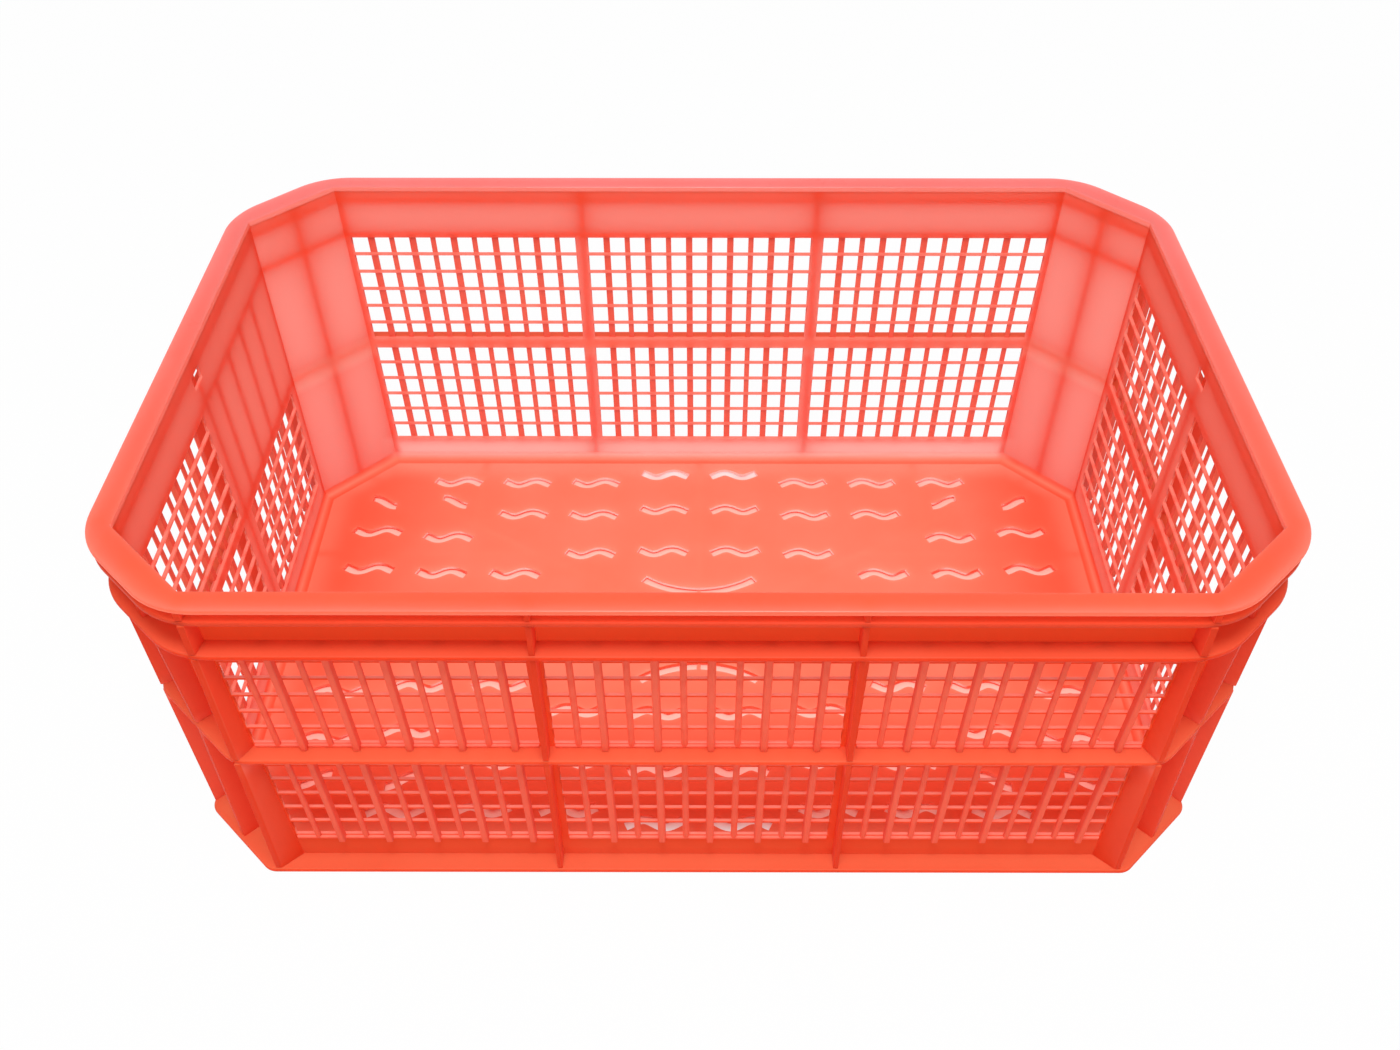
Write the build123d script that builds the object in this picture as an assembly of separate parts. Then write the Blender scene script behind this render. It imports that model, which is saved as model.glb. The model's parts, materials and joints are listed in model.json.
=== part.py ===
from build123d import *
import math
import os

os.makedirs("parts", exist_ok=True)

# Outside size over the rim, and how far each wall leans in from rim to base
length = 600.0
width = 400.0
height = 228.0
taper = 11.4

# Rim: a flat flange with a second lip close under it, both wider across the cut-off corners
rim_width = 13.2
rim_corner_width = 16.0
rim_thickness = 3.0
rim_radius = 45.0
lip_drop = 8.5
lip_inset = 0.4

# Shell: thin sheets, with each corner cut off by a solid panel
wall_thickness = 2.2
corner_leg = 45.0

# Hoops: the top and base ones stand out as far as the rim, the waist one only as far as the outer ribs
hoop_thickness = 3.2
band_corner_width = 16.9
waist_width = 12.7
waist_corner_width = 13.6
waist_radius = 18.0
base_corner_width = 20.0
base_radius = 10.0

# Outer ribs: those on the corners stand out further towards the base
rib_inset = 0.3
corner_rib_inset = 0.8
corner_foot_inset = 2.2
main_rib_thickness = 3.0
edge_rib_thickness = 3.5

# Heights of the solid bands above, between and below the two lattice levels
top_band = 36.4
waist_band = 6.5
base_band = 22.7

# Lattice: rungs are left between slots in the sheet, and uprights cross them on the outside
rows = 6
rung_height = 2.0
long_bays = 3
long_columns = 11
long_margin = 0.9
end_bays = 2
end_columns = 9
end_margin = 6.0
thin_width = 2.4
thin_depth = 1.5
thick_width = 3.2
thick_depth = 4.0
bar_height = 2.0

# Small window high in the middle of each end wall
window_width = 13.0
window_height = 8.0
window_drop = 17.0

# Floor: a slotted panel with a rounded joint to the walls and stiffeners underneath
floor_top = 4.0
floor_thickness = 2.4
cove_radius = 6.0
cove_steps = 3
floor_rib_thickness = 2.5
floor_rib_clearance = 0.2

# Wave slots in the floor: columns are counted from the middle, rows are shares of the floor's half width
slot_columns = 5
slot_end_margin = 12.6
slot_width = 6.5
slot_length = 34.0
slot_swing = 2.6
slot_waves = 1.3
short_slot_length = 18.0
short_slot_swing = 4.5
short_slot_waves = 0.5
slot_steps = 6
slot_rows = ((0.435, 0.695, 0.925), (0.422, 0.66, 0.87), (0.3, 0.665, 0.87), (0.305, 0.52, 0.875), (0.33, 0.555))
short_slot_rows = ((3, 0.745), (4, 0.74))
arc_slot_row = 0.2
arc_slot_radius = 65.0
arc_slot_half_angle = 36.0

quarter_turn = 90.0
draft = taper / height
diagonal = math.sqrt(0.5)
inner_half_length = length / 2 - rim_width
inner_half_width = width / 2 - rim_width
flat_half_length = inner_half_length - corner_leg
flat_half_width = inner_half_width - corner_leg
rib_depth = waist_width - rib_inset
corner_rib_depth = waist_corner_width - corner_rib_inset
corner_foot_depth = base_corner_width - corner_foot_inset
cut_depth = 4 * wall_thickness
wall_top = height - rim_thickness
lip_high = height - lip_drop
lip_low = lip_high - hoop_thickness
lattice_height = (height - top_band - waist_band - base_band) / 2
row_pitch = lattice_height / rows
upper_low = base_band + lattice_height + waist_band
band_low = height - top_band
waist_low = base_band + lattice_height + (waist_band - hoop_thickness) / 2
floor_low = floor_top - floor_thickness
levels = (
    (hoop_thickness, waist_low),
    (waist_low + hoop_thickness, band_low),
    (band_low + hoop_thickness, lip_low),
    (lip_high, wall_top),
)


def lean(half, z):
    return half - draft * (height - z)


# Plan of the shell at one height, moved out by one amount on the walls and another on the corners
def octagon(z, offset, corner):
    x_far = lean(inner_half_length, z) + offset
    y_far = lean(inner_half_width, z) + offset
    leg = corner_leg + 2 * offset - corner / diagonal
    x_flat = x_far - leg
    y_flat = y_far - leg
    return [
        (x_far, -y_flat),
        (x_far, y_flat),
        (x_flat, y_far),
        (-x_flat, y_far),
        (-x_far, y_flat),
        (-x_far, -y_flat),
        (-x_flat, -y_far),
        (x_flat, -y_far),
    ]


def polygon(points):
    return make_face(Polyline(*points, close=True))


def frustum(low, high, offset):
    ends = [Pos(0, 0, z) * polygon(octagon(z, offset, offset)) for z in (low, high)]
    return loft(ends, ruled=True)


def rounded_prism(low, high, offset, corner, radius, level):
    outline = polygon(octagon(level, offset, corner))
    outline = fillet(outline.vertices(), radius)
    return extrude(Pos(0, 0, low) * outline, amount=high - low)


def hoop(low, offset, corner, radius):
    high = low + hoop_thickness
    ring = rounded_prism(low, high, offset, corner, radius, (low + high) / 2)
    return ring - frustum(low, high, wall_thickness)


def rim_flange():
    plate = rounded_prism(wall_top, height, rim_width, rim_corner_width, rim_radius, height)
    return plate - frustum(wall_top, height, 0)


def rim_lip():
    offset = rim_width - lip_inset
    corner = rim_corner_width - lip_inset
    plate = rounded_prism(lip_low, lip_high, offset, corner, rim_radius, lip_high)
    return plate - frustum(lip_low, lip_high, wall_thickness)


def panel(side):
    faces = []
    for offset in (0, wall_thickness):
        low = octagon(0, offset, offset)
        high = octagon(wall_top, offset, offset)
        after = (side + 1) % len(low)
        corners = [(*low[side], 0), (*low[after], 0), (*high[after], wall_top), (*high[side], wall_top)]
        faces.append(polygon(corners))
    return loft(faces, ruled=True)


# An upright plate that stands out of the shell along its foot line
def fin(foot, out, thickness, low, high, low_depth, high_depth):
    corners = []
    for z, offset in ((low, wall_thickness), (low, low_depth), (high, high_depth), (high, wall_thickness)):
        x, y = foot(z)
        corners.append((x + out[0] * offset, y + out[1] * offset, z))
    return extrude(polygon(corners), amount=thickness / 2, dir=(-out[1], out[0], 0), both=True)


# A wall seen from outside, facing -Y, before it is turned to its place
class Wall:
    def __init__(self, half, flat, bays, columns, margin):
        self.half = half
        self.flat = flat
        self.columns = columns
        self.bay = 2 * flat / bays
        self.clear = self.bay - 2 * (edge_rib_thickness + margin)
        self.pitch = (self.clear + thick_width) / columns
        self.centres = [(bay + 0.5) * self.bay - flat for bay in range(bays)]

    # Everything on the wall draws together towards the base as the wall narrows
    def share(self, z):
        return lean(self.flat, z) / self.flat

    def fin(self, x, thickness, low, high, depth):
        foot = lambda z: (x * self.share(z), -lean(self.half, z))
        return fin(foot, (0, -1), thickness, low, high, depth, depth)

    # A plate that stands plumb, at the place on the wall that its level gives
    def bar(self, x, wide, low, high, depth, level):
        share = self.share(level)
        foot = lambda z: (x * share, -lean(self.half, z))
        return fin(foot, (0, -1), wide * share, low, high, depth, depth)

    def cut(self, x, z, wide, tall):
        share = self.share(z)
        return Pos(x * share, -lean(self.half, z), z) * Box(wide * share, cut_depth, tall)

    # An edge rib's foot follows the crease of the shell and its outer edge stands upright
    def edge_rib(self, side, low, high):
        def section(z):
            y = -lean(self.half, z)
            foot = side * (lean(self.flat, z) - edge_rib_thickness / 2)
            tip = side * (self.flat - edge_rib_thickness / 2)
            half = edge_rib_thickness / 2
            inner = y - wall_thickness
            outer = y - rib_depth
            corners = [(foot - half, inner), (foot + half, inner), (tip + half, outer), (tip - half, outer)]
            return Pos(0, 0, z) * polygon(corners)

        return loft([section(low), section(high)], ruled=True)

    def slots(self, closed):
        cuts = []
        for level, low in enumerate((base_band, upper_low)):
            for bay, centre in enumerate(self.centres):
                if (level, bay) == closed:
                    continue
                for row in range(rows):
                    z = low + (row + 0.5) * row_pitch
                    cuts.append(self.cut(centre, z, self.clear, row_pitch - rung_height))
        return cuts

    def comb(self, centre, low, high, thick_only):
        start = centre - (self.clear + thick_width) / 2
        bars = [self.bar(centre, self.clear, low, low + bar_height, wall_thickness + thin_depth, low)]
        for column in range(1, self.columns):
            x = start + column * self.pitch
            if column % 2 == 0:
                bars.append(self.fin(x, thick_width, low, high, wall_thickness + thick_depth))
            elif not thick_only:
                bars.append(self.fin(x, thin_width, low, high, wall_thickness + thin_depth))
        return bars[0].fuse(*bars[1:]).clean()

    def lattice(self, closed):
        combs = []
        zones = ((base_band - bar_height, waist_low), (waist_low + hoop_thickness, band_low))
        for level, (low, high) in enumerate(zones):
            for bay, centre in enumerate(self.centres):
                combs.append(self.comb(centre, low, high, (level, bay) == closed))
        return combs

    def ribs(self):
        plates = []
        for low, high in levels:
            plates += [self.edge_rib(side, low, high) for side in (-1, 1)]
            for centre in self.centres[:-1]:
                x = centre + self.bay / 2
                plates.append(self.bar(x, main_rib_thickness, low, high, rib_depth, height / 2))
        return plates


def corner_ribs(side_x, side_y):
    def foot(z):
        x = lean(inner_half_length, z) - corner_leg / 2
        y = lean(inner_half_width, z) - corner_leg / 2
        return side_x * x, side_y * y

    out = (side_x * diagonal, side_y * diagonal)
    plates = []
    for low, high in levels:
        low_depth = corner_rib_depth if low > waist_low else corner_foot_depth
        plates.append(fin(foot, out, main_rib_thickness, low, high, low_depth, corner_rib_depth))
    return plates


def wave_slot(x, y, span, swing, waves, sense, side_x, side_y):
    def point(step):
        along = step / slot_steps - 0.5
        return Vector(along * span, sense * swing * math.sin(2 * math.pi * waves * along))

    spine = [point(step) for step in range(slot_steps + 1)]
    left = []
    right = []
    for step, here in enumerate(spine):
        ahead = spine[min(step + 1, slot_steps)] - spine[max(step - 1, 0)]
        across = Vector(-ahead.Y, ahead.X).normalized() * (slot_width / 2)
        left.append(here + across)
        right.append(here - across)
    outline = left + right[::-1]
    return polygon([(side_x * (x + p.X), side_y * (y + p.Y)) for p in outline])


def arc_slot(side_y, y):
    centre = y + arc_slot_radius
    inner = arc_slot_radius - slot_width / 2
    outer = arc_slot_radius + slot_width / 2
    start = -quarter_turn - arc_slot_half_angle
    arcs = [CenterArc((0, centre), radius, start, 2 * arc_slot_half_angle) for radius in (inner, outer)]
    edges = arcs + [Line(arcs[0] @ end, arcs[1] @ end) for end in (0, 1)]
    face = make_face(edges)
    return face if side_y > 0 else mirror(face, about=Plane.XZ)


def floor_slots():
    half_length = lean(inner_half_length, floor_top) - cove_radius
    half_width = lean(inner_half_width, floor_top) - cove_radius
    pitch = (half_length - slot_end_margin) / slot_columns
    wave = (slot_length, slot_swing, slot_waves, -1)
    short_wave = (short_slot_length, short_slot_swing, short_slot_waves, 1)
    places = [(column, row, wave) for column, shares in enumerate(slot_rows) for row in shares]
    places += [(column, row, short_wave) for column, row in short_slot_rows]
    faces = []
    for side_y in (-1, 1):
        faces.append(arc_slot(side_y, arc_slot_row * half_width))
        for side_x in (-1, 1):
            for column, row, shape in places:
                faces.append(wave_slot((column + 0.5) * pitch, row * half_width, *shape, side_x, side_y))
    return [extrude(Pos(0, 0, floor_low) * face, amount=floor_thickness, both=True) for face in faces]


# The hollow curve of the cove is a few flats, from level at the floor to upright at the wall
def floor_cove():
    sections = []
    for step in range(cove_steps + 1):
        angle = math.radians(quarter_turn * step / cove_steps)
        z = floor_top + cove_radius * (1 - math.cos(angle))
        offset = cove_radius * (math.sin(angle) - 1)
        sections.append(Pos(0, 0, z) * polygon(octagon(z, offset, offset)))
    return frustum(floor_top, floor_top + cove_radius, 0) - loft(sections, ruled=True)


def floor_ribs():
    tall = floor_low - floor_rib_clearance
    middle = floor_rib_clearance + tall / 2

    def bar(start, end):
        run = Vector(*end) - Vector(*start)
        block = Box(run.length, floor_rib_thickness, tall)
        turn = math.degrees(math.atan2(run.Y, run.X))
        centre = (Vector(*start) + Vector(*end)) * 0.5
        return Pos(centre.X, centre.Y, middle) * Rot(0, 0, turn) * block

    corner_x = flat_half_length + corner_leg / 2
    corner_y = flat_half_width + corner_leg / 2
    bars = [bar((0, -width / 2), (0, width / 2))]
    bars += [bar((-corner_x, -side * corner_y), (corner_x, side * corner_y)) for side in (-1, 1)]
    # Short ribs run from the middle of each outer bay in to the diagonals
    cross_x = flat_half_length * (1 - 1 / long_bays)
    cross_y = flat_half_width / end_bays
    for side_x in (-1, 1):
        for side_y in (-1, 1):
            x = side_x * cross_x
            y = side_y * cross_y
            bars.append(bar((x, side_y * cross_x * corner_y / corner_x), (x, side_y * width / 2)))
            bars.append(bar((side_x * cross_y * corner_x / corner_y, y), (side_x * length / 2, y)))
    grid = bars[0].fuse(*bars[1:]).clean()
    return grid & frustum(floor_rib_clearance, floor_low, 0)


long_wall = Wall(inner_half_width, flat_half_length, long_bays, long_columns, long_margin)
end_wall = Wall(inner_half_length, flat_half_width, end_bays, end_columns, end_margin)
label_bay = (1, 0)

nodes = {
    "rim_flange": rim_flange(),
    "rim_skirt": rim_lip(),
    "band_hoop": hoop(band_low, rim_width, band_corner_width, rim_radius),
    "waist_hoop": hoop(waist_low, waist_width, waist_corner_width, waist_radius),
    "base_hoop": hoop(0, rim_width, base_corner_width, base_radius),
    "floor_panel": frustum(floor_low, floor_top, 0) - floor_slots(),
    "floor_cove": floor_cove(),
    "floor_ribs": floor_ribs(),
}

# Panels in the order of the octagon's sides
side_names = ("right", "back_right", "back", "back_left", "left", "front_left", "front", "front_right")
panels = {name: panel(side) for side, name in enumerate(side_names)}

# The back repeats the front and the left repeats the right, each turned half round
walls = (("front", long_wall), ("right", end_wall), ("back", long_wall), ("left", end_wall))
for quarter, (name, wall) in enumerate(walls):
    place = Rot(0, 0, quarter * quarter_turn)
    closed = label_bay if name == "left" else None
    cuts = wall.slots(closed)
    if wall is end_wall:
        cuts.append(wall.cut(0, height - window_drop, window_width, window_height))
    nodes[f"{name}_wall"] = panels[name] - [place * cut for cut in cuts]
    nodes[f"{name}_lattice"] = Compound(children=[place * comb for comb in wall.lattice(closed)])
    nodes[f"{name}_ribs"] = Compound(children=[place * plate for plate in wall.ribs()])

corners = (("front_right", 1, -1), ("back_right", 1, 1), ("back_left", -1, 1), ("front_left", -1, -1))
for name, side_x, side_y in corners:
    nodes[f"{name}_corner"] = panels[name]
    nodes[f"{name}_corner_ribs"] = Compound(children=corner_ribs(side_x, side_y))

for name, shape in nodes.items():
    export_step(shape, f"parts/{name}.step")
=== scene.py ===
import bmesh
import bpy
import json
import math
from mathutils import Matrix, Vector


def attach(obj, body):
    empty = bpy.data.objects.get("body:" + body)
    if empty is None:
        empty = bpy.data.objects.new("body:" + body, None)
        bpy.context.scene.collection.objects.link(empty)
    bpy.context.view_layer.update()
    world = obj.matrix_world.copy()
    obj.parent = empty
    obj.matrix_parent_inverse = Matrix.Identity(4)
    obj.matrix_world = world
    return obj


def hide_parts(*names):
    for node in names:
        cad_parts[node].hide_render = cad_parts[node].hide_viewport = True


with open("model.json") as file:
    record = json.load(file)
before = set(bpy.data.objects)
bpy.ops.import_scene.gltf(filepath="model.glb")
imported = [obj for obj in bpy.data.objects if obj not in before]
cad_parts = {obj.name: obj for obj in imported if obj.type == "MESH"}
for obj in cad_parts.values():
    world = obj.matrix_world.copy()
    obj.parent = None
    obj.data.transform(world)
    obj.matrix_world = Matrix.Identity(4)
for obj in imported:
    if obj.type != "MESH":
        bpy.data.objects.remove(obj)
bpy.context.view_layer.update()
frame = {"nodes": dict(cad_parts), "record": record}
nodes = frame["nodes"]
scene = bpy.context.scene
scene.view_settings.view_transform = "Standard"
slotOf = {entry["node"]: entry["material_slot"] for entry in frame["record"]["subparts"]}
print("frame loaded:", len(nodes), "nodes")


def addNode(tree, kind, **values):
    node = tree.nodes.new(kind)
    for name, value in values.items():
        if name in node.inputs:
            node.inputs[name].default_value = value
        else:
            setattr(node, name, value)
    return node


# an input takes another node's output or a plain value
def give(tree, value, socket):
    if isinstance(value, bpy.types.NodeSocket):
        tree.links.new(value, socket)
    else:
        socket.default_value = value


def opaque(color):
    return (*color, 1)


def grey(level):
    return (level, level, level)


def splitAxes(tree, vector):
    axes = addNode(tree, "ShaderNodeSeparateXYZ")
    tree.links.new(vector, axes.inputs["Vector"])
    return axes.outputs


def objectAxes(tree):
    place = addNode(tree, "ShaderNodeTexCoord")
    return splitAxes(tree, place.outputs["Object"])


def compute(tree, operation, *terms):
    node = addNode(tree, "ShaderNodeMath", operation=operation)
    for term, socket in zip(terms, node.inputs):
        give(tree, term, socket)
    return node.outputs[0]


def largest(tree, first, *others):
    for other in others:
        first = compute(tree, "MAXIMUM", first, other)
    return first


# how far a value is along a span, as a number within the reach
def ramp(tree, value, span, reach=(0.0, 1.0), smooth=False):
    node = addNode(tree, "ShaderNodeMapRange", interpolation_type="SMOOTHSTEP" if smooth else "LINEAR")
    for name, number in zip(("From Min", "From Max", "To Min", "To Max"), (*span, *reach)):
        node.inputs[name].default_value = number
    tree.links.new(value, node.inputs["Value"])
    return node.outputs["Result"]


def mixColors(tree, factor, first, second, blend="MIX"):
    node = addNode(tree, "ShaderNodeMix", data_type="RGBA", blend_type=blend)
    for value, name in zip((factor, first, second), ("Factor", "A", "B")):
        give(tree, value, node.inputs[name])
    return node.outputs["Result"]


def mixShaders(tree, factor, first, second):
    node = addNode(tree, "ShaderNodeMixShader")
    for value, socket in zip((factor, first, second), node.inputs):
        give(tree, value, socket)
    return node.outputs["Shader"]


def showShader(tree, kind, shader):
    out = addNode(tree, kind)
    tree.links.new(shader, out.inputs["Surface"])


def newMaterial(name):
    material = bpy.data.materials.new(name)
    material.use_nodes = True
    material.node_tree.nodes.clear()
    return material, material.node_tree


# an input has a default where the materials leave it alone
def newGroup(name, inputs, outputs):
    tree = bpy.data.node_groups.new(name, "ShaderNodeTree")
    for label, kind, *default in inputs:
        socket = tree.interface.new_socket(label, in_out="INPUT", socket_type=kind)
        if default:
            socket.default_value = default[0]
    for label, kind in outputs:
        tree.interface.new_socket(label, in_out="OUTPUT", socket_type=kind)
    return tree, tree.nodes.new("NodeGroupInput"), tree.nodes.new("NodeGroupOutput")


# from where to where a face's normal comes to count as turned out, up, down or along the crate,
# and where the foot of the long walls fades out, upward and towards its ends
facingSpans = {
    "outward": (-0.25, 0.25),
    "upward": (0.35, 0.75),
    "downward": (-0.5, -0.8),
    "endWall": (0.8, 0.95),
    "footTop": (0.012, 0.028),
    "footEnd": (0.222, 0.24),
}


# picks a colour by the way a face looks: into the crate, out of it or up; the end walls' inner faces
# have their own, and so has the inner foot of the long walls, where the bright ground shines in;
# for tint and glow these are lit and shaded copies of one plastic, painted light where a side is paler
# and painted shade where it is deeper
def makeFacing():
    colors = [(side, "NodeSocketColor") for side in ("Inner", "Outer", "Top", "Foot", "Ends")]
    tree, given, out = newGroup("facing", colors, [("Color", "NodeSocketColor")])
    link = tree.links.new
    place = addNode(tree, "ShaderNodeTexCoord")
    level = addNode(tree, "ShaderNodeVectorMath", operation="MULTIPLY")
    level.inputs[1].default_value = (1, 1, 0)
    link(place.outputs["Object"], level.inputs[0])
    away = addNode(tree, "ShaderNodeVectorMath", operation="NORMALIZE")
    link(level.outputs["Vector"], away.inputs[0])
    facing = addNode(tree, "ShaderNodeVectorMath", operation="DOT_PRODUCT")
    link(away.outputs["Vector"], facing.inputs[0])
    link(place.outputs["Normal"], facing.inputs[1])
    normal = splitAxes(tree, place.outputs["Normal"])
    point = splitAxes(tree, place.outputs["Object"])
    outward = ramp(tree, facing.outputs["Value"], facingSpans["outward"])
    upward = ramp(tree, normal["Z"], facingSpans["upward"])
    downward = ramp(tree, normal["Z"], facingSpans["downward"])
    endWall = ramp(tree, compute(tree, "ABSOLUTE", normal["X"]), facingSpans["endWall"])
    aboveFoot = ramp(tree, point["Z"], facingSpans["footTop"], smooth=True)
    pastFoot = ramp(tree, compute(tree, "ABSOLUTE", point["X"]), facingSpans["footEnd"], smooth=True)
    inner = mixColors(tree, endWall, given.outputs["Inner"], given.outputs["Ends"])
    inner = mixColors(tree, largest(tree, aboveFoot, pastFoot), given.outputs["Foot"], inner)
    side = mixColors(tree, largest(tree, outward, downward), inner, given.outputs["Outer"])
    link(mixColors(tree, upward, side, given.outputs["Top"]), out.inputs["Color"])
    return tree


skinLook = {
    "cloudTint": (0.98, 0.8, 0.7),
    "cloudScale": 14.0,
    "cloudDetail": 3.0,
    "cloudSpan": (0.35, 0.65),
    "cloudAmount": 0.6,
    "driftScale": 60.0,
    "driftDetail": 4.0,
    "driftCentre": 0.5,
    "drift": 0.14,
    "grainScale": 900.0,
    "grainDetail": 2.0,
    "grainDepth": 0.0004,
    "grainStrength": 0.12,
    "waveScale": 22.0,
    "waveDetail": 1.0,
    "waveStrength": 0.5,
    "noiseRoughness": 0.55,
    "ior": 1.5,
}


# cloudy moulded plastic: slow drifts of tone from uneven wall thickness, plus a fine satin skin
def makeMouldedSkin():
    tree, given, out = newGroup(
        "mouldedSkin",
        [
            ("Tint", "NodeSocketColor"),
            ("Cloud Tint", "NodeSocketColor", opaque(skinLook["cloudTint"])),
            ("Cloud Scale", "NodeSocketFloat", skinLook["cloudScale"]),
            ("Cloud Amount", "NodeSocketFloat", skinLook["cloudAmount"]),
            ("Roughness", "NodeSocketFloat"),
            ("Roughness Drift", "NodeSocketFloat", skinLook["drift"]),
            ("Grain Scale", "NodeSocketFloat", skinLook["grainScale"]),
            ("Wave Scale", "NodeSocketFloat", skinLook["waveScale"]),
        ],
        [
            ("Color", "NodeSocketColor"),
            ("Roughness", "NodeSocketFloat"),
            ("Grain", "NodeSocketFloat"),
            ("Wave", "NodeSocketFloat"),
        ],
    )
    link = tree.links.new
    place = addNode(tree, "ShaderNodeTexCoord")

    def noise(scaleFrom, detail):
        texture = addNode(tree, "ShaderNodeTexNoise", Detail=detail, Roughness=skinLook["noiseRoughness"])
        link(place.outputs["Object"], texture.inputs["Vector"])
        link(given.outputs[scaleFrom], texture.inputs["Scale"])
        return texture.outputs["Fac"]

    cloud = ramp(tree, noise("Cloud Scale", skinLook["cloudDetail"]), skinLook["cloudSpan"])
    amount = compute(tree, "MULTIPLY", cloud, given.outputs["Cloud Amount"])
    tinted = mixColors(tree, amount, given.outputs["Tint"], given.outputs["Cloud Tint"], blend="MULTIPLY")
    link(tinted, out.inputs["Color"])
    # the gloss drifts a little with a finer cloud
    sheen = addNode(tree, "ShaderNodeTexNoise", Scale=skinLook["driftScale"], Detail=skinLook["driftDetail"])
    link(place.outputs["Object"], sheen.inputs["Vector"])
    lift = compute(tree, "SUBTRACT", sheen.outputs["Fac"], skinLook["driftCentre"])
    drift = compute(tree, "MULTIPLY_ADD", lift, given.outputs["Roughness Drift"], given.outputs["Roughness"])
    link(drift, out.inputs["Roughness"])
    link(noise("Grain Scale", skinLook["grainDetail"]), out.inputs["Grain"])
    link(noise("Wave Scale", skinLook["waveDetail"]), out.inputs["Wave"])
    return tree


# painted shade: the floor is redder towards its ends, back and front, where less light falls; each of them
# gives the places where that starts and is full, and it stops at the heights given by cove
floorEdgeShade = {
    "tint": (0.95, 0.08, 0.022),
    "glow": (0.95, 0.24, 0.15),
    "ends": (0.14, 0.33),
    "back": (0.145, 0.2),
    "front": (0.0, -0.165),
    "cove": (0.0041, 0.0055),
}


# fades from one colour in the middle of the floor to another along its edges, as painted shade
def makeEdgeShadeFade():
    colors = [(name, "NodeSocketColor") for name in ("Middle", "Edge")]
    tree, given, out = newGroup("edgeShadeFade", colors, [("Color", "NodeSocketColor")])
    point = objectAxes(tree)
    places = {"ends": compute(tree, "ABSOLUTE", point["X"]), "back": point["Y"], "front": point["Y"]}
    near = [ramp(tree, place, floorEdgeShade[edge], smooth=True) for edge, place in places.items()]
    belowCove = ramp(tree, point["Z"], floorEdgeShade["cove"], (1.0, 0.0))
    amount = compute(tree, "MULTIPLY", largest(tree, *near), belowCove)
    faded = mixColors(tree, amount, given.outputs["Middle"], given.outputs["Edge"])
    tree.links.new(faded, out.inputs["Color"])
    return tree


facingColor = makeFacing()
mouldedSkin = makeMouldedSkin()
edgeShadeFade = makeEdgeShadeFade()


# one colour for each way a face can look; the foot and the end walls take the inner one unless given
def bySide(inner, outer, top, foot=None, ends=None):
    colors = {"Inner": inner, "Outer": outer, "Top": top, "Foot": foot or inner, "Ends": ends or inner}
    return {side: opaque(color) for side, color in colors.items()}


# tint colours the light that the skin turns back and glow the light that comes through the wall, whose
# share is clear; inside is what the light that runs in a piece keeps when it leaves
# each side's tint and glow below is a lit or shaded copy of one plastic: painted light where it is paler,
# painted shade where it is deeper
plastics = {
    "rim_plastic": {
        "tint": bySide((0.98, 0.12, 0.04), (0.98, 0.12, 0.04), (0.98, 0.105, 0.014)),
        "glow": bySide((1, 0.45, 0.42), (1, 0.24, 0.15), (1, 0.36, 0.33), ends=(1, 0.25, 0.21)),
        "inside": (1, 1, 1),
        "clear": 0.45,
        "rough": 0.3,
        "gloss": 0.08,
        "wave": 0.0012,
    },
    "rib_plastic": {
        "tint": bySide((0.98, 0.1, 0.03), (0.94, 0.075, 0.018), (0.84, 0.14, 0.066)),
        "glow": bySide((1, 0.4, 0.34), (0.95, 0.16, 0.07), (0.88, 0.2, 0.095), ends=(1, 0.22, 0.17)),
        "inside": (0.85, 0.28, 0.22),
        "clear": 0.45,
        "rough": 0.4,
        "gloss": 0.12,
        "wave": 0.0008,
    },
    "wall_plastic": {
        "tint": bySide((0.98, 0.1, 0.03), (0.97, 0.085, 0.026), (1, 0.22, 0.15), foot=(1, 0.3, 0.24)),
        "glow": bySide((1, 0.52, 0.47), (0.9, 0.1, 0.03), (1, 0.36, 0.3), (1, 0.78, 0.72), (1, 0.29, 0.235)),
        "inside": (1, 1, 1),
        "clear": 0.5,
        "rough": 0.42,
        "gloss": 0.12,
        "wave": 0.001,
    },
    "lattice_plastic": {
        "tint": bySide((0.9, 0.08, 0.03), (0.98, 0.17, 0.1), (1, 0.22, 0.15)),
        "glow": bySide((0.85, 0.26, 0.2), (1, 0.18, 0.1), (1, 0.36, 0.3), ends=(0.85, 0.14, 0.1)),
        "inside": (1, 1, 1),
        "clear": 0.45,
        "rough": 0.42,
        "gloss": 0.15,
        "wave": 0.0005,
    },
    "floor_plastic": {
        "tint": bySide((0.98, 0.16, 0.08), (0.98, 0.12, 0.05), (0.98, 0.33, 0.21), foot=(1, 0.6, 0.54)),
        "glow": bySide((1, 0.5, 0.44), (1, 0.14, 0.07), (1, 0.47, 0.4), (1, 0.85, 0.8), (1, 0.28, 0.22)),
        "inside": (1, 1, 1),
        "clear": 0.4,
        "rough": 0.44,
        "gloss": 0.2,
        "wave": 0.001,
    },
}
# the rim is polished by use, most on its top
rimPolish = {"coat": bySide(grey(0.38), grey(0.26), grey(0.75)), "rough": 0.3, "ior": 1.7}
# painted sheen: the top of the rim gets paler from the front to the back, where its reflection is stronger
rimPaintedSheen = {"span": (-0.19, 0.19), "tint": (0.98, 0.2, 0.19)}
# painted shade: the second lip in the flange's shade, below this height, is deeper in tone, and dull
lip = {"span": (0.2222, 0.2223), "tint": (0.84, 0.085, 0.035), "glow": (0.8, 0.1, 0.04), "coat": grey(0.0)}
# painted light: at the waist hoop's height the ribs let more of the light out, and the long walls are painted
# paler inside;
# full is the share of the way to the middle from which the mask is 1
waistPaintedLight = {"span": (0.094, 0.114), "full": 0.5, "inside": (1, 0.8, 0.74), "tint": (0.98, 0.26, 0.16)}
# outside, the walls are paler towards the foot, where the ground lights them
wallFoot = {"span": (0.003, 0.024), "tint": (0.97, 0.23, 0.1)}


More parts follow.
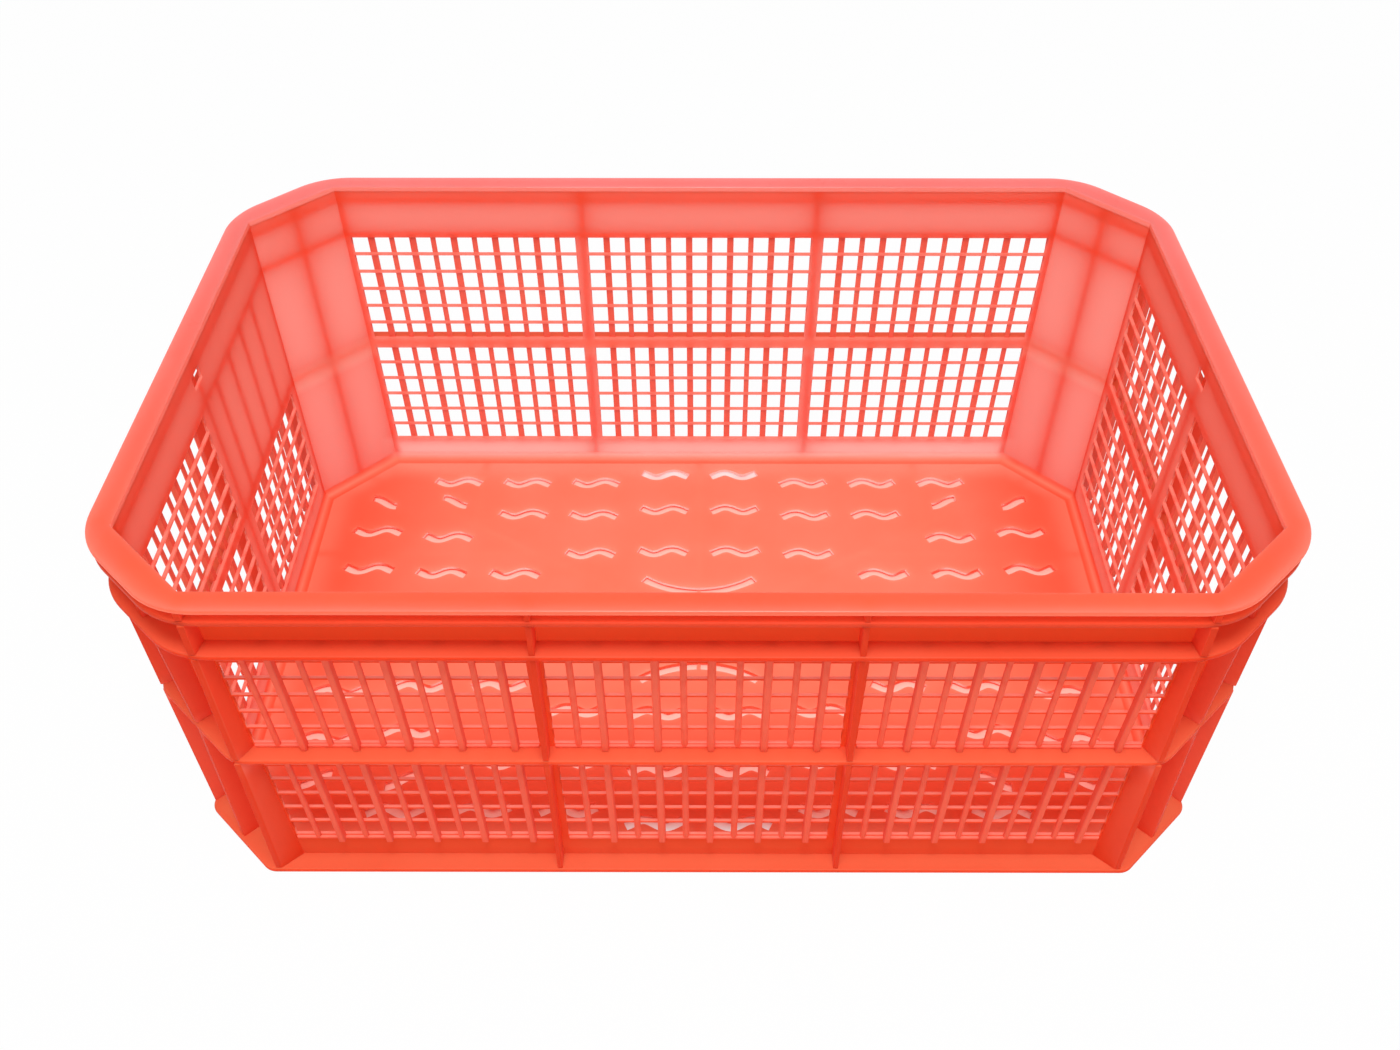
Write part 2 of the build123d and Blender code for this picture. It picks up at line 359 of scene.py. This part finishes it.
def makePlastic(slot, look):
    material, tree = newMaterial(slot)
    link = tree.links.new
    isRim = slot == "rim_plastic"

    def along(axis, span):
        return ramp(tree, objectAxes(tree)[axis], span)

    # 1 along the waist, 0 above and below it
    def alongWaist():
        low, high = waistPaintedLight["span"]
        middle = (low + high) / 2
        both = compute(tree, "MULTIPLY", along("Z", (low, middle)), along("Z", (high, middle)))
        return ramp(tree, both, (0.0, waistPaintedLight["full"]))

    # the colours by side, and on the rim's pieces the lip's own below its height, whose tint and glow are
    # painted shade
    def faced(colors, lipColor):
        pick = addNode(tree, "ShaderNodeGroup", node_tree=facingColor)
        for side, color in colors.items():
            give(tree, color, pick.inputs[side])
        if not isRim:
            return pick.outputs["Color"]
        return mixColors(tree, along("Z", lip["span"]), opaque(lipColor), pick.outputs["Color"])

    # on the floor, painted shade towards its edges
    def edgeShaded(color, edgeShadeColor):
        if slot != "floor_plastic":
            return color
        edge = addNode(tree, "ShaderNodeGroup", node_tree=edgeShadeFade)
        give(tree, opaque(edgeShadeColor), edge.inputs["Edge"])
        give(tree, color, edge.inputs["Middle"])
        return edge.outputs["Color"]

    tint = dict(look["tint"])
    # painted sheen on the rim's top, paler towards the back
    if isRim:
        tint["Top"] = mixColors(tree, along("Y", rimPaintedSheen["span"]), tint["Top"], opaque(rimPaintedSheen["tint"]))
    # on the long walls, painted light inside along the waist; outside, paler towards the foot, where the
    # ground lights them
    if slot == "wall_plastic":
        tint["Inner"] = mixColors(tree, alongWaist(), tint["Inner"], opaque(waistPaintedLight["tint"]))
        tint["Outer"] = mixColors(tree, along("Z", wallFoot["span"]), opaque(wallFoot["tint"]), tint["Outer"])
    skin = addNode(tree, "ShaderNodeGroup", node_tree=mouldedSkin)
    skin.inputs["Roughness"].default_value = look["rough"]
    link(edgeShaded(faced(tint, lip["tint"]), floorEdgeShade["tint"]), skin.inputs["Tint"])
    warp = addNode(tree, "ShaderNodeBump", Strength=skinLook["waveStrength"], Distance=look["wave"])
    link(skin.outputs["Wave"], warp.inputs["Height"])
    grain = {"Strength": skinLook["grainStrength"], "Distance": skinLook["grainDepth"]}
    bump = addNode(tree, "ShaderNodeBump", **grain)
    link(skin.outputs["Grain"], bump.inputs["Height"])
    link(warp.outputs["Normal"], bump.inputs["Normal"])
    shell = addNode(tree, "ShaderNodeBsdfPrincipled")
    shell.inputs["IOR"].default_value = skinLook["ior"]
    shell.inputs["Specular IOR Level"].default_value = look["gloss"]
    if isRim:
        link(faced(rimPolish["coat"], lip["coat"]), shell.inputs["Coat Weight"])
        shell.inputs["Coat Roughness"].default_value = rimPolish["rough"]
        shell.inputs["Coat IOR"].default_value = rimPolish["ior"]
    link(skin.outputs["Color"], shell.inputs["Base Color"])
    link(skin.outputs["Roughness"], shell.inputs["Roughness"])
    link(bump.outputs["Normal"], shell.inputs["Normal"])
    glow = addNode(tree, "ShaderNodeBsdfTranslucent")
    link(edgeShaded(faced(look["glow"], lip["glow"]), floorEdgeShade["glow"]), glow.inputs["Color"])
    face = mixShaders(tree, look["clear"], shell.outputs["BSDF"], glow.outputs["BSDF"])
    inside = addNode(tree, "ShaderNodeBsdfTranslucent", Color=opaque(look["inside"]))
    # the ribs' inside colour is paler along the waist, painted light
    if slot == "rib_plastic":
        kept = mixColors(tree, alongWaist(), opaque(look["inside"]), opaque(waistPaintedLight["inside"]))
        link(kept, inside.inputs["Color"])
    geometry = addNode(tree, "ShaderNodeNewGeometry")
    surface = mixShaders(tree, geometry.outputs["Backfacing"], face, inside.outputs["BSDF"])
    showShader(tree, "ShaderNodeOutputMaterial", surface)
    return material


materials = {slot: makePlastic(slot, look) for slot, look in plastics.items()}
print("materials made:", len(materials))

# the moulding's own sizes in metres and degrees, the same as the solids'
crate = {
    "length": 0.6,
    "width": 0.4,
    "height": 0.228,
    "taper": 0.0114,
    "rimWidth": 0.0132,
    "rimCornerWidth": 0.016,
    "rimRadius": 0.045,
    "lipDrop": 0.0085,
    "lipInset": 0.0004,
    "bandCornerWidth": 0.0169,
    "waistWidth": 0.0127,
    "waistCornerWidth": 0.0136,
    "waistRadius": 0.018,
    "baseCornerWidth": 0.02,
    "baseRadius": 0.01,
    "wall": 0.0022,
    "cornerLeg": 0.045,
    "cornerTurn": 45.0,
    "rimThickness": 0.003,
    "hoopThickness": 0.0032,
    "baseBand": 0.0227,
    "waistBand": 0.0065,
    "topBand": 0.0364,
    "floorTop": 0.004,
    "floorThickness": 0.0024,
    "coveRadius": 0.006,
}
draft = crate["taper"] / crate["height"]
mitre = math.tan(math.radians(crate["cornerTurn"] / 2))
innerLength = crate["length"] / 2 - crate["rimWidth"]
innerWidth = crate["width"] / 2 - crate["rimWidth"]
flatLength = innerLength - crate["cornerLeg"]
flatWidth = innerWidth - crate["cornerLeg"]
wallTop = crate["height"] - crate["rimThickness"]
latticeTall = (crate["height"] - crate["topBand"] - crate["waistBand"] - crate["baseBand"]) / 2
bandLow = crate["height"] - crate["topBand"]
waistLow = crate["baseBand"] + latticeTall + (crate["waistBand"] - crate["hoopThickness"]) / 2
sharpAngle = math.radians(50)


def lean(half, z):
    return half - draft * (crate["height"] - z)


# plan of the shell at one height, moved out by one amount on the walls and another on the corners
def shellPlan(z, offset, corner):
    xFar = lean(innerLength, z) + offset
    yFar = lean(innerWidth, z) + offset
    leg = crate["cornerLeg"] + 2 * offset - corner * math.sqrt(2)
    quarter = [(xFar, yFar - leg), (xFar - leg, yFar)]
    plan = quarter + [(-x, y) for x, y in reversed(quarter)]
    plan += [(-x, -y) for x, y in quarter] + [(x, -y) for x, y in reversed(quarter)]
    return [Vector(point) for point in plan]


def roundPlan(plan, radius, steps):
    points = []
    for index, here in enumerate(plan):
        before = (plan[index - 1] - here).normalized()
        after = (plan[(index + 1) % len(plan)] - here).normalized()
        half = before.angle(after) / 2
        centre = here + (before + after).normalized() * (radius / math.sin(half))
        start = here + before * (radius / math.tan(half)) - centre
        end = here + after * (radius / math.tan(half)) - centre
        sweep = start.angle_signed(end)
        for step in range(steps + 1):
            turn = Matrix.Rotation(-sweep * step / steps, 2)
            points.append(centre + turn @ start)
    return points


def evenShading(piece):
    piece.modifiers.new("shade", "WEIGHTED_NORMAL").keep_sharp = True


def keepPiece(mesh, node):
    piece = bpy.data.objects.new(node + "_moulded", mesh)
    scene.collection.objects.link(piece)
    mesh.materials.append(materials[slotOf[node]])
    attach(piece, "root")
    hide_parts(node)
    return piece


def finishMesh(bm, name):
    bmesh.ops.recalc_face_normals(bm, faces=bm.faces)
    for face in bm.faces:
        face.smooth = True
    for edge in bm.edges:
        edge.smooth = edge.calc_face_angle(0) < sharpAngle
    mesh = bpy.data.meshes.new(name)
    bm.to_mesh(mesh)
    bm.free()
    return mesh


# closes a stack of equal rows of points into a ring with a closed section
def ringMesh(name, rows):
    bm = bmesh.new()
    grid = [[bm.verts.new(point) for point in row] for row in rows]
    count = len(grid[0])
    for index, row in enumerate(grid):
        nextRow = grid[(index + 1) % len(grid)]
        for step in range(count):
            after = (step + 1) % count
            bm.faces.new((row[step], row[after], nextRow[after], nextRow[step]))
    return finishMesh(bm, name)


# what the hoops share; level is the part of a ring's own height at which its reach is measured
hoop = {
    "tall": crate["hoopThickness"],
    "reach": crate["rimWidth"],
    "level": 0.5,
    "inset": crate["wall"],
    "edge": 0.0012,
}
rings = {
    "rim_flange": {
        "low": wallTop,
        "tall": crate["rimThickness"],
        "reach": crate["rimWidth"],
        "cornerReach": crate["rimCornerWidth"],
        "radius": crate["rimRadius"],
        "level": 1.0,
        "inset": 0.0,
        "edge": 0.0011,
    },
    "rim_skirt": {
        **hoop,
        "low": crate["height"] - crate["lipDrop"] - crate["hoopThickness"],
        "reach": crate["rimWidth"] - crate["lipInset"],
        "cornerReach": crate["rimCornerWidth"] - crate["lipInset"],
        "radius": crate["rimRadius"],
        "level": 1.0,
    },
    "band_hoop": {
        **hoop,
        "low": bandLow,
        "cornerReach": crate["bandCornerWidth"],
        "radius": crate["rimRadius"],
    },
    "waist_hoop": {
        **hoop,
        "low": waistLow,
        "reach": crate["waistWidth"],
        "cornerReach": crate["waistCornerWidth"],
        "radius": crate["waistRadius"],
    },
    "base_hoop": {
        **hoop,
        "low": 0.0,
        "cornerReach": crate["baseCornerWidth"],
        "radius": crate["baseRadius"],
    },
}
ringSteps = {"corner": 10, "edge": 4, "cove": 8, "innerRadius": 0.0015}


def quarterTurns(steps):
    return [math.pi / 2 * step / steps for step in range(steps + 1)]


def innerPlan(z, offset):
    return roundPlan(shellPlan(z, offset, offset), ringSteps["innerRadius"], ringSteps["corner"])


def atHeight(plan, z):
    return [(point.x, point.y, z) for point in plan]


# each point of one plan moved by a distance towards its partner in another
def movedToward(plan, other, distance):
    return [here + (there - here).normalized() * distance for here, there in zip(plan, other)]


def makeRing(node, look):
    low = look["low"]
    high = low + look["tall"]
    edge = look["edge"]
    level = low + look["tall"] * look["level"]
    plan = shellPlan(level, look["reach"], look["cornerReach"])
    outer = roundPlan(plan, look["radius"], ringSteps["corner"])

    def outerRow(z, inward):
        return atHeight(movedToward(outer, innerPlan(z, look["inset"]), inward), z)

    def innerRow(z, outward):
        return atHeight(movedToward(innerPlan(z, look["inset"]), outer, outward), z)

    rows = [innerRow(low, 0.0)]
    turns = quarterTurns(ringSteps["edge"])
    if look["inset"] == 0:
        rows += [innerRow(high - edge + edge * math.sin(a), edge * (1 - math.cos(a))) for a in turns]
    else:
        rows.append(innerRow(high, 0.0))
    rows += [outerRow(high - edge + edge * math.cos(a), edge * (1 - math.sin(a))) for a in turns]
    rows += [outerRow(low + edge - edge * math.sin(a), edge * (1 - math.cos(a))) for a in turns]
    evenShading(keepPiece(ringMesh(node, rows), node))


for node, look in rings.items():
    makeRing(node, look)


# hollow curve from the floor up to the walls
def makeCove():
    radius = crate["coveRadius"]
    low = crate["floorTop"]
    rows = []
    for angle in quarterTurns(ringSteps["cove"]):
        z = low + radius * (1 - math.cos(angle))
        rows.append(atHeight(innerPlan(z, radius * (math.sin(angle) - 1)), z))
    rows.append(atHeight(innerPlan(low, 0), low))
    evenShading(keepPiece(ringMesh("floor_cove", rows), "floor_cove"))


makeCove()
print("rings made:", len(rings) + 1)

# the two kinds of wall, each drawn facing -Y and turned to its sides
walls = {
    "long": {
        "half": innerWidth,
        "flat": flatLength,
        "bays": 3,
        "columns": 11,
        "margin": 0.0009,
        "window": False,
        "sides": ("front", "back"),
    },
    "end": {
        "half": innerLength,
        "flat": flatWidth,
        "bays": 2,
        "columns": 9,
        "margin": 0.006,
        "window": True,
        "sides": ("right", "left"),
    },
}
lattice = {
    "rows": 6,
    "rung": 0.002,
    "edgeRib": 0.0035,
    "thickWidth": 0.0032,
    "thickDepth": 0.004,
    "thinWidth": 0.0024,
    "thinDepth": 0.0015,
    "rootSpread": 0.0006,
    "bar": 0.002,
    "windowWide": 0.013,
    "windowTall": 0.008,
    "windowDrop": 0.017,
    "sheetEdge": 0.0009,
    "barEdge": 0.0007,
    "edgeSteps": 3,
}
turnOf = {"front": 0, "right": 90, "back": 180, "left": 270}
# the left wall's closed bay, by level and place: the first one of the upper level
labelBay = (1, 0)


# the clear width of a wall's bays, and their centres
def wallBays(wall):
    bay = 2 * wall["flat"] / wall["bays"]
    clear = bay - 2 * (lattice["edgeRib"] + wall["margin"])
    centres = [(index + 0.5) * bay - wall["flat"] for index in range(wall["bays"])]
    return clear, centres


# openings of one wall as (left, right, low, high), measured at the rim's width
def wallHoles(wall, closed):
    clear, centres = wallBays(wall)
    rowTall = latticeTall / lattice["rows"]
    tall = (rowTall - lattice["rung"]) / 2
    upperLow = crate["baseBand"] + latticeTall + crate["waistBand"]
    holes = []
    for level, low in enumerate((crate["baseBand"], upperLow)):
        for bay, centre in enumerate(centres):
            if (level, bay) == closed:
                continue
            for row in range(lattice["rows"]):
                z = low + (row + 0.5) * rowTall
                holes.append((centre - clear / 2, centre + clear / 2, z - tall, z + tall))
    if wall["window"]:
        z = crate["height"] - lattice["windowDrop"]
        wide = lattice["windowWide"] / 2
        holes.append((-wide, wide, z - lattice["windowTall"] / 2, z + lattice["windowTall"] / 2))
    return holes


def bevelByWeight(piece, width):
    bevel = piece.modifiers.new("round", "BEVEL")
    bevel.width = width
    bevel.segments = lattice["edgeSteps"]
    bevel.limit_method = "WEIGHT"
    bevel.use_clamp_overlap = False
    evenShading(piece)


# thin sheet with its openings, as a grid of quads whose opening edges are rounded
def sheetMesh(name, wall, holes, place):
    flat = wall["flat"]
    half = wall["half"]
    xs = sorted({-flat, flat} | {x for hole in holes for x in hole[:2]})
    zs = sorted({0.0, wallTop} | {z for hole in holes for z in hole[2:]})

    # None beyond the sheet's own edge
    def isOpen(column, row):
        if not (0 <= column < len(xs) - 1 and 0 <= row < len(zs) - 1):
            return None
        x = (xs[column] + xs[column + 1]) / 2
        z = (zs[row] + zs[row + 1]) / 2
        return any(left < x < right and low < z < high for left, right, low, high in holes)

    bm = bmesh.new()
    weight = bm.edges.layers.float.new("bevel_weight_edge")
    made = {}

    def vertex(column, row, side):
        key = (column, row, side)
        if key not in made:
            z = zs[row]
            x = xs[column] * lean(flat, z) / flat
            if side and abs(xs[column]) == flat:
                x += math.copysign(crate["wall"] * mitre, x)
            made[key] = bm.verts.new(place @ Vector((x, -lean(half, z) - side * crate["wall"], z)))
        return made[key]

    def face(*keys):
        return bm.faces.new([vertex(*key) for key in keys])

    # each edge of a quad: its start, its end and the neighbour beyond it
    quad = ((0, 0), (1, 0), (1, 1), (0, 1))
    beyond = ((0, -1), (1, 0), (0, 1), (-1, 0))
    openEdges = []
    for column in range(len(xs) - 1):
        for row in range(len(zs) - 1):
            if isOpen(column, row):
                continue
            for side in (0, 1):
                face(*[(column + a, row + b, side) for a, b in quad])
            for start, end, toward in zip(quad, quad[1:] + quad[:1], beyond):
                state = isOpen(column + toward[0], row + toward[1])
                if state is False:
                    continue
                here = (column + start[0], row + start[1])
                there = (column + end[0], row + end[1])
                face((*here, 0), (*there, 0), (*there, 1), (*here, 1))
                if state:
                    openEdges += [((*here, side), (*there, side)) for side in (0, 1)]
    for first, second in openEdges:
        edge = bm.edges.get((made[first], made[second]))
        edge[weight] = 1.0
    return finishMesh(bm, name)


# uprights stand on the outside of the sheet, every other one thick, over a low bar
def combMesh(name, wall, closed, place):
    clear, centres = wallBays(wall)
    pitch = (clear + lattice["thickWidth"]) / wall["columns"]
    bm = bmesh.new()
    weight = bm.edges.layers.float.new("bevel_weight_edge")

    # where a line up the leaning wall stands at one height
    def edgeAt(x, aside=0.0):
        return lambda z: x * lean(wall["flat"], z) / wall["flat"] + aside

    # on each side a bar is wider at its root than at its face by the spread
    def bar(leftAt, rightAt, low, high, depth, spread):
        corners = []
        for z in (low, high):
            near = -lean(wall["half"], z) - crate["wall"]
            far = near - depth
            left, right = leftAt(z), rightAt(z)
            section = ((left - spread, near), (left, far), (right, far), (right + spread, near))
            corners += [bm.verts.new(place @ Vector((x, y, z))) for x, y in section]
        for quad in ((0, 1, 5, 4), (1, 2, 6, 5), (2, 3, 7, 6), (3, 0, 4, 7), (3, 2, 1, 0), (4, 5, 6, 7)):
            bm.faces.new([corners[index] for index in quad])
        for first, second in ((1, 5), (2, 6), (1, 2), (5, 6)):
            bm.edges.get((corners[first], corners[second]))[weight] = 1.0

    zones = ((crate["baseBand"] - lattice["bar"], waistLow), (waistLow + crate["hoopThickness"], bandLow))
    for level, (low, high) in enumerate(zones):
        for bay, centre in enumerate(centres):
            ends = (edgeAt(centre - clear / 2), edgeAt(centre + clear / 2))
            bar(*ends, low, low + lattice["bar"], lattice["thinDepth"], 0)
            start = centre - (clear + lattice["thickWidth"]) / 2
            for column in range(1, wall["columns"]):
                kind = "thick" if column % 2 == 0 else "thin"
                if (level, bay) == closed and kind == "thin":
                    continue
                half = lattice[kind + "Width"] / 2
                x = start + column * pitch
                sides = (edgeAt(x, -half), edgeAt(x, half))
                bar(*sides, low, high, lattice[kind + "Depth"], lattice["rootSpread"])
    return finishMesh(bm, name)


for wall in walls.values():
    for side in wall["sides"]:
        place = Matrix.Rotation(math.radians(turnOf[side]), 4, "Z")
        closed = labelBay if side == "left" else None
        sheet = keepPiece(sheetMesh(side + "_wall", wall, wallHoles(wall, closed), place), side + "_wall")
        bevelByWeight(sheet, lattice["sheetEdge"])
        comb = keepPiece(combMesh(side + "_lattice", wall, closed, place), side + "_lattice")
        bevelByWeight(comb, lattice["barEdge"])
print("walls made:", len(turnOf))

# rows give each column's slots as shares of the floor's half width
floorSlots = {
    "columns": 5,
    "endMargin": 0.0126,
    "width": 0.0065,
    "length": 0.034,
    "swing": -0.0026,
    "waves": 1.3,
    "shortLength": 0.018,
    "shortSwing": 0.0045,
    "shortWaves": 0.5,
    "rows": (
        (0.435, 0.695, 0.925),
        (0.422, 0.66, 0.87),
        (0.3, 0.665, 0.87),
        (0.305, 0.52, 0.875),
        (0.33, 0.555),
    ),
    "shortRows": ((3, 0.745), (4, 0.74)),
    "arcRow": 0.2,
    "arcRadius": 0.065,
    "arcHalfAngle": 36.0,
    "steps": 20,
    "edge": 0.0006,
    "edgeSteps": 2,
    "join": 0.00001,
}


# outline of a slot that follows a line of points, square at its ends
def slotOutline(spine):
    left = []
    right = []
    for step, here in enumerate(spine):
        ahead = spine[min(step + 1, len(spine) - 1)] - spine[max(step - 1, 0)]
        across = Vector((-ahead.y, ahead.x)).normalized() * (floorSlots["width"] / 2)
        left.append(here + across)
        right.append(here - across)
    return left + right[::-1]


def waveSpine(x, y, span, swing, waves):
    points = []
    for step in range(floorSlots["steps"] + 1):
        along = step / floorSlots["steps"] - 0.5
        points.append(Vector((x + along * span, y + swing * math.sin(2 * math.pi * waves * along))))
    return points


def arcSpine(y):
    half = math.radians(floorSlots["arcHalfAngle"])
    radius = floorSlots["arcRadius"]
    points = []
    for step in range(floorSlots["steps"] + 1):
        angle = half * (2 * step / floorSlots["steps"] - 1)
        points.append(Vector((radius * math.sin(angle), y + radius - radius * math.cos(angle))))
    return points


def turnsLeft(outline):
    area = sum(a.x * b.y - b.x * a.y for a, b in zip(outline, outline[1:] + outline[:1]))
    return area > 0


def floorOutlines():
    halfLength = lean(innerLength, crate["floorTop"]) - crate["coveRadius"]
    halfWidth = lean(innerWidth, crate["floorTop"]) - crate["coveRadius"]
    pitch = (halfLength - floorSlots["endMargin"]) / floorSlots["columns"]
    wave = (floorSlots["length"], floorSlots["swing"], floorSlots["waves"])
    shortWave = (floorSlots["shortLength"], floorSlots["shortSwing"], floorSlots["shortWaves"])
    spines = [arcSpine(floorSlots["arcRow"] * halfWidth)]
    mirrored = []
    for column, shares in enumerate(floorSlots["rows"]):
        mirrored += [waveSpine((column + 0.5) * pitch, share * halfWidth, *wave) for share in shares]
    for column, share in floorSlots["shortRows"]:
        mirrored.append(waveSpine((column + 0.5) * pitch, share * halfWidth, *shortWave))
    spines += mirrored + [[Vector((-p.x, p.y)) for p in spine] for spine in mirrored]
    spines += [[Vector((p.x, -p.y)) for p in spine] for spine in list(spines)]
    outlines = [slotOutline(spine) for spine in spines]
    return [outline[::-1] if turnsLeft(outline) else outline for outline in outlines]


# a filled flat curve with bevelled slots, turned into a mesh
def makeFloorPanel():
    curve = bpy.data.curves.new("floor_panel", "CURVE")
    curve.dimensions = "2D"
    curve.fill_mode = "BOTH"
    edge = floorSlots["edge"]
    curve.extrude = crate["floorThickness"] / 2 - edge
    curve.bevel_depth = edge
    curve.bevel_resolution = floorSlots["edgeSteps"]
    curve.offset = -edge
    middle = crate["floorTop"] - crate["floorThickness"] / 2
    for outline in [shellPlan(middle, 0, 0)] + floorOutlines():
        spline = curve.splines.new("POLY")
        spline.points.add(len(outline) - 1)
        for slot, point in zip(spline.points, outline):
            slot.co = (point.x, point.y, 0, 1)
        spline.use_cyclic_u = True
    holder = bpy.data.objects.new("floorOutline", curve)
    scene.collection.objects.link(holder)
    depsgraph = bpy.context.evaluated_depsgraph_get()
    mesh = bpy.data.meshes.new_from_object(holder.evaluated_get(depsgraph))
    bpy.data.objects.remove(holder)
    bpy.data.curves.remove(curve)
    mesh.transform(Matrix.Translation((0, 0, middle)))
    bm = bmesh.new()
    bm.from_mesh(mesh)
    bmesh.ops.remove_doubles(bm, verts=bm.verts, dist=floorSlots["join"])
    bpy.data.meshes.remove(mesh)
    evenShading(keepPiece(finishMesh(bm, "floor_panel"), "floor_panel"))


makeFloorPanel()
print("floor made")

# the other pieces keep their solids, and the sharp edges of the ribs get a small moulded radius
plateEdge = {
    "radius": {"rib_plastic": 0.0008, "floor_plastic": 0.0003},
    "steps": 3,
    "sharperThan": math.radians(40),
    "join": 0.00002,
}


def softenEdges(piece, radius):
    weld = piece.modifiers.new("weld", "WELD")
    weld.merge_threshold = plateEdge["join"]
    rounding = piece.modifiers.new("round", "BEVEL")
    rounding.width = radius
    rounding.segments = plateEdge["steps"]
    rounding.limit_method = "ANGLE"
    rounding.angle_limit = plateEdge["sharperThan"]
    evenShading(piece)


for name, piece in nodes.items():
    piece.data.materials.clear()
    piece.data.materials.append(materials[slotOf[name]])
    if name.endswith("ribs"):
        softenEdges(piece, plateEdge["radius"][slotOf[name]])
print("plates finished")

# the covered sizes bound the ground under the crate, whose corners are cut
stageLook = {
    "floorSize": 6.0,
    "floorShade": 0.65,
    "whiteShare": 0.975,
    "coveredPaintedShade": (0.98, 0.5, 0.42),
    "coveredShare": 0.0,
    "coveredHalf": (0.262, 0.162),
    "coveredCorner": 0.392,
    "coveredFade": 0.014,
    "horizon": 0.3,
    "zenith": 0.8,
}


# 1 for rays that should find plain white: seen directly, in a reflection or through the plastic
def makeWhiteRays(tree):
    path = addNode(tree, "ShaderNodeLightPath")
    kinds = ("Is Camera Ray", "Is Glossy Ray", "Is Transmission Ray")
    return largest(tree, *[path.outputs[kind] for kind in kinds])


# 1 on the open floor and 0 under the crate, where the ground is painted with the crate's red shade
def makeOpenFloor(tree):
    point = objectAxes(tree)
    x = compute(tree, "ABSOLUTE", point["X"])
    y = compute(tree, "ABSOLUTE", point["Y"])
    distances = (x, y, compute(tree, "ADD", x, y))
    limits = (*stageLook["coveredHalf"], stageLook["coveredCorner"])
    fade = stageLook["coveredFade"]
    spans = [(limit - fade, limit + fade) for limit in limits]
    return largest(tree, *[ramp(tree, way, span, smooth=True) for way, span in zip(distances, spans)])


def makeFloor():
    half = stageLook["floorSize"] / 2
    mesh = bpy.data.meshes.new("studioFloor")
    corners = [(-half, -half, 0), (half, -half, 0), (half, half, 0), (-half, half, 0)]
    mesh.from_pydata(corners, [], [(0, 1, 2, 3)])
    floor = bpy.data.objects.new("studioFloor", mesh)
    scene.collection.objects.link(floor)
    material, tree = newMaterial("studioFloor")
    shade = opaque(grey(stageLook["floorShade"]))
    openFloor = makeOpenFloor(tree)
    # painted red shade on the ground under the crate
    color = mixColors(tree, openFloor, opaque(stageLook["coveredPaintedShade"]), shade)
    matte = addNode(tree, "ShaderNodeBsdfDiffuse")
    tree.links.new(color, matte.inputs["Color"])
    white = addNode(tree, "ShaderNodeEmission", Color=(1, 1, 1, 1), Strength=1.0)
    level = ramp(tree, openFloor, (0.0, 1.0), (stageLook["coveredShare"], stageLook["whiteShare"]))
    share = compute(tree, "MULTIPLY", makeWhiteRays(tree), level)
    seen = mixShaders(tree, share, matte.outputs["BSDF"], white.outputs["Emission"])
    # from below the floor is not there, so the crate's base can be looked at
    geometry = addNode(tree, "ShaderNodeNewGeometry")
    clear = addNode(tree, "ShaderNodeBsdfTransparent")
    oneSided = mixShaders(tree, geometry.outputs["Backfacing"], seen, clear.outputs["BSDF"])
    showShader(tree, "ShaderNodeOutputMaterial", oneSided)
    mesh.materials.append(material)


# a pale dome, brighter overhead than at the horizon
def makeWorld():
    world = bpy.data.worlds.new("studio")
    scene.world = world
    world.use_nodes = True
    tree = world.node_tree
    tree.nodes.clear()
    toward = addNode(tree, "ShaderNodeTexCoord")
    height = splitAxes(tree, toward.outputs["Generated"])["Z"]
    soft = addNode(tree, "ShaderNodeBackground", Color=(1, 1, 1, 1))
    level = ramp(tree, height, (0.0, 1.0), (stageLook["horizon"], stageLook["zenith"]))
    tree.links.new(level, soft.inputs["Strength"])
    white = addNode(tree, "ShaderNodeBackground", Color=(1, 1, 1, 1), Strength=1.0)
    seen = mixShaders(tree, makeWhiteRays(tree), soft.outputs["Background"], white.outputs["Background"])
    showShader(tree, "ShaderNodeOutputWorld", seen)


softbox = {"at": (0.0, -0.72, 1.92), "aim": (0, 0, 0.1), "size": 0.6, "power": 28.5}


def makeSoftbox():
    light = bpy.data.lights.new("topSoftbox", "AREA")
    light.shape = "DISK"
    light.size = softbox["size"]
    light.energy = softbox["power"]
    holder = bpy.data.objects.new("topSoftbox", light)
    holder.location = softbox["at"]
    aim = Vector(softbox["aim"]) - Vector(softbox["at"])
    holder.rotation_euler = aim.to_track_quat("-Z", "Y").to_euler()
    scene.collection.objects.link(holder)


view = {
    "at": (0.00215, -0.6433, 0.6918),
    "pitch": 42.74,
    "yaw": 0.122,
    "lens": 36.03,
    "sensor": 36,
    "near": 0.01,
}


def makeCamera():
    camera = bpy.data.cameras.new("photoView")
    camera.sensor_fit = "HORIZONTAL"
    camera.sensor_width = view["sensor"]
    camera.lens = view["lens"]
    camera.clip_start = view["near"]
    holder = bpy.data.objects.new("photoView", camera)
    holder.location = view["at"]
    holder.rotation_euler = (math.radians(90 - view["pitch"]), 0, math.radians(view["yaw"]))
    scene.collection.objects.link(holder)
    scene.camera = holder


makeFloor()
makeWorld()
makeSoftbox()
makeCamera()
print("stage set")
